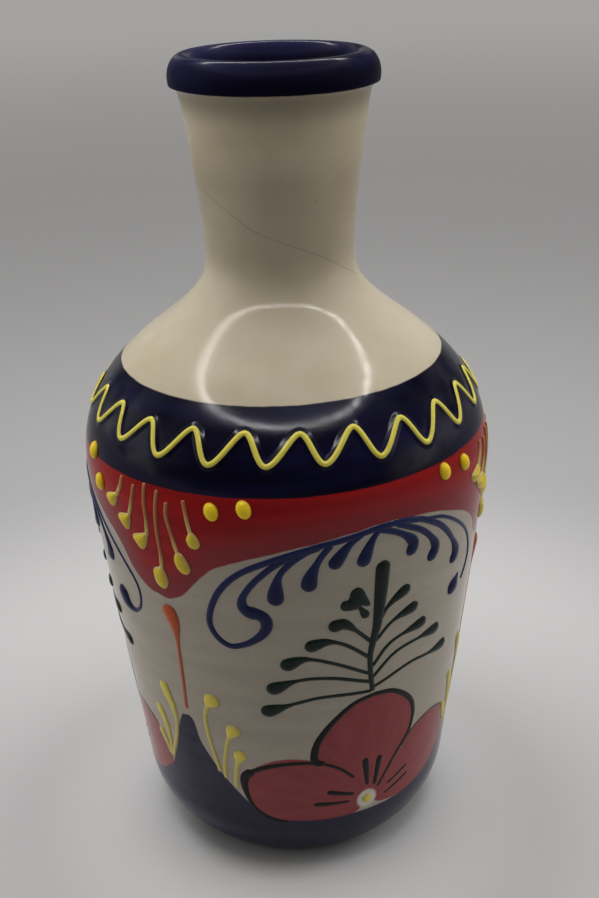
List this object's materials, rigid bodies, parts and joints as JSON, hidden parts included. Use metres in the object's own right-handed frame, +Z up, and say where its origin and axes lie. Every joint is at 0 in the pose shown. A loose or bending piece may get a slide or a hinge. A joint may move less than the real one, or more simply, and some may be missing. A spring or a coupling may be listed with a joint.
{
  "type": "ceramic bottle",
  "caption": "Hollow ceramic bottle with a flared neck, rolled lip and rounded shoulder, painted in bands and trimmed with raised trails of coloured slip.",
  "frame": {"origin": "centre of the foot, on the surface that the bottle stands on", "axes": "+Z up along the bottle's axis, -Y towards the side that the picture shows"},
  "size_m": [0.1288, 0.1289, 0.25],
  "materials": {
    "cream_glaze": "glossy cream glaze with painted navy and red bands",
    "yellow_slip": "glossy raised yellow slip",
    "blue_slip": "glossy raised cobalt blue slip",
    "green_slip": "glossy raised dark green slip",
    "bead_slip": "glossy yellow slip",
    "orange_slip": "glossy orange slip",
    "pale_yellow_slip": "soft pale yellow slip under glaze"
  },
  "bodies": {
    "root": {"bottle_body": "cream_glaze", "zigzag_trail": "yellow_slip", "pendant_a_drop_1": "yellow_slip", "pendant_a_drop_2": "yellow_slip", "pendant_a_drop_3": "yellow_slip", "pendant_a_drop_4": "yellow_slip", "pendant_a_drop_5": "yellow_slip", "pendant_a_drop_6": "yellow_slip", "pendant_a_dot_1": "yellow_slip", "pendant_a_dot_2": "yellow_slip", "pendant_a_dot_3": "yellow_slip", "pendant_a_dot_4": "yellow_slip", "garland_a": "blue_slip", "fern_a": "green_slip", "flower_bead_a": "bead_slip", "flame_a": "orange_slip", "sprig_a_left": "pale_yellow_slip", "sprig_a_right": "pale_yellow_slip", "pendant_b_drop_1": "yellow_slip", "pendant_b_drop_2": "yellow_slip", "pendant_b_drop_3": "yellow_slip", "pendant_b_drop_4": "yellow_slip", "pendant_b_drop_5": "yellow_slip", "pendant_b_drop_6": "yellow_slip", "pendant_b_dot_1": "yellow_slip", "pendant_b_dot_2": "yellow_slip", "pendant_b_dot_3": "yellow_slip", "pendant_b_dot_4": "yellow_slip", "garland_b": "blue_slip", "fern_b": "green_slip", "flower_bead_b": "bead_slip", "flame_b": "orange_slip", "sprig_b_left": "pale_yellow_slip", "sprig_b_right": "pale_yellow_slip", "pendant_c_drop_1": "yellow_slip", "pendant_c_drop_2": "yellow_slip", "pendant_c_drop_3": "yellow_slip", "pendant_c_drop_4": "yellow_slip", "pendant_c_drop_5": "yellow_slip", "pendant_c_drop_6": "yellow_slip", "pendant_c_dot_1": "yellow_slip", "pendant_c_dot_2": "yellow_slip", "pendant_c_dot_3": "yellow_slip", "pendant_c_dot_4": "yellow_slip", "garland_c": "blue_slip", "fern_c": "green_slip", "flower_bead_c": "bead_slip", "flame_c": "orange_slip", "sprig_c_left": "pale_yellow_slip", "sprig_c_right": "pale_yellow_slip"}
  },
  "joints": []
}
